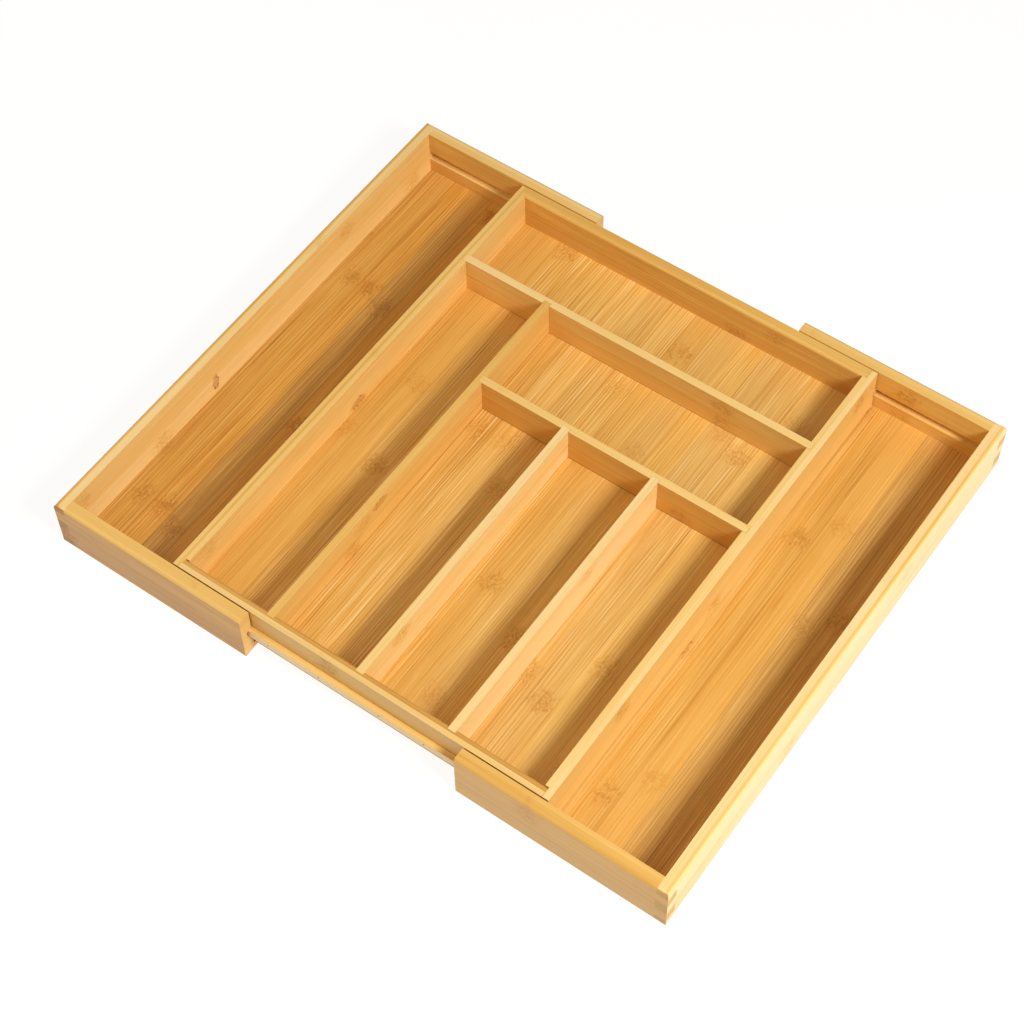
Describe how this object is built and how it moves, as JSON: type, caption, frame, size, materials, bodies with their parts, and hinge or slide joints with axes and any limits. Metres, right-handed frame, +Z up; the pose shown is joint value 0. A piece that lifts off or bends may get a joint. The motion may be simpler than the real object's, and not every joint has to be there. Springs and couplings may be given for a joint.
{
  "type": "expandable drawer organizer",
  "caption": "Low rectangular bamboo tray divided into open compartments, with a side tray at each end that slides out on rails to widen it to fit a drawer.",
  "frame": {"origin": "middle of the footprint, on the underside, with both side trays pulled out", "axes": "+X to the right along the pull-out direction, +Y to the back, +Z up"},
  "size_m": [0.505, 0.432, 0.045],
  "materials": {
    "centre_walls": "satin lacquered bamboo board",
    "side_tray_walls": "satin lacquered bamboo board",
    "dividers": "satin lacquered bamboo board",
    "floor_panels": "satin lacquered bamboo panel, fine pinstripe grain",
    "slide_rails": "satin lacquered bamboo strip",
    "stop_battens": "plain sanded bamboo strip",
    "rail_pins": "dull dark pin heads, set flush"
  },
  "bodies": {
    "centre_tray": {"centre_floor": "floor_panels", "centre_left_wall": "centre_walls", "centre_right_wall": "centre_walls", "centre_front_wall": "centre_walls", "centre_back_wall": "centre_walls", "front_slide_rail": "slide_rails", "back_slide_rail": "slide_rails", "front_rail_pins": "rail_pins", "back_rail_pins": "rail_pins", "long_cross_divider": "dividers", "short_cross_divider": "dividers", "long_column_divider": "dividers", "middle_column_divider": "dividers", "right_column_divider": "dividers"},
    "left_tray": {"left_end_wall": "side_tray_walls", "left_front_arm": "side_tray_walls", "left_back_arm": "side_tray_walls", "left_floor": "floor_panels", "left_stop_batten": "stop_battens"},
    "right_tray": {"right_end_wall": "side_tray_walls", "right_front_arm": "side_tray_walls", "right_back_arm": "side_tray_walls", "right_floor": "floor_panels", "right_stop_batten": "stop_battens"}
  },
  "joints": [
    {"name": "left_tray_slide", "type": "slide", "parent": "centre_tray", "child": "left_tray", "axis": [-1, 0, 0], "range_m": [-0.088, 0]},
    {"name": "right_tray_slide", "type": "slide", "parent": "centre_tray", "child": "right_tray", "axis": [1, 0, 0], "range_m": [-0.088, 0]}
  ]
}
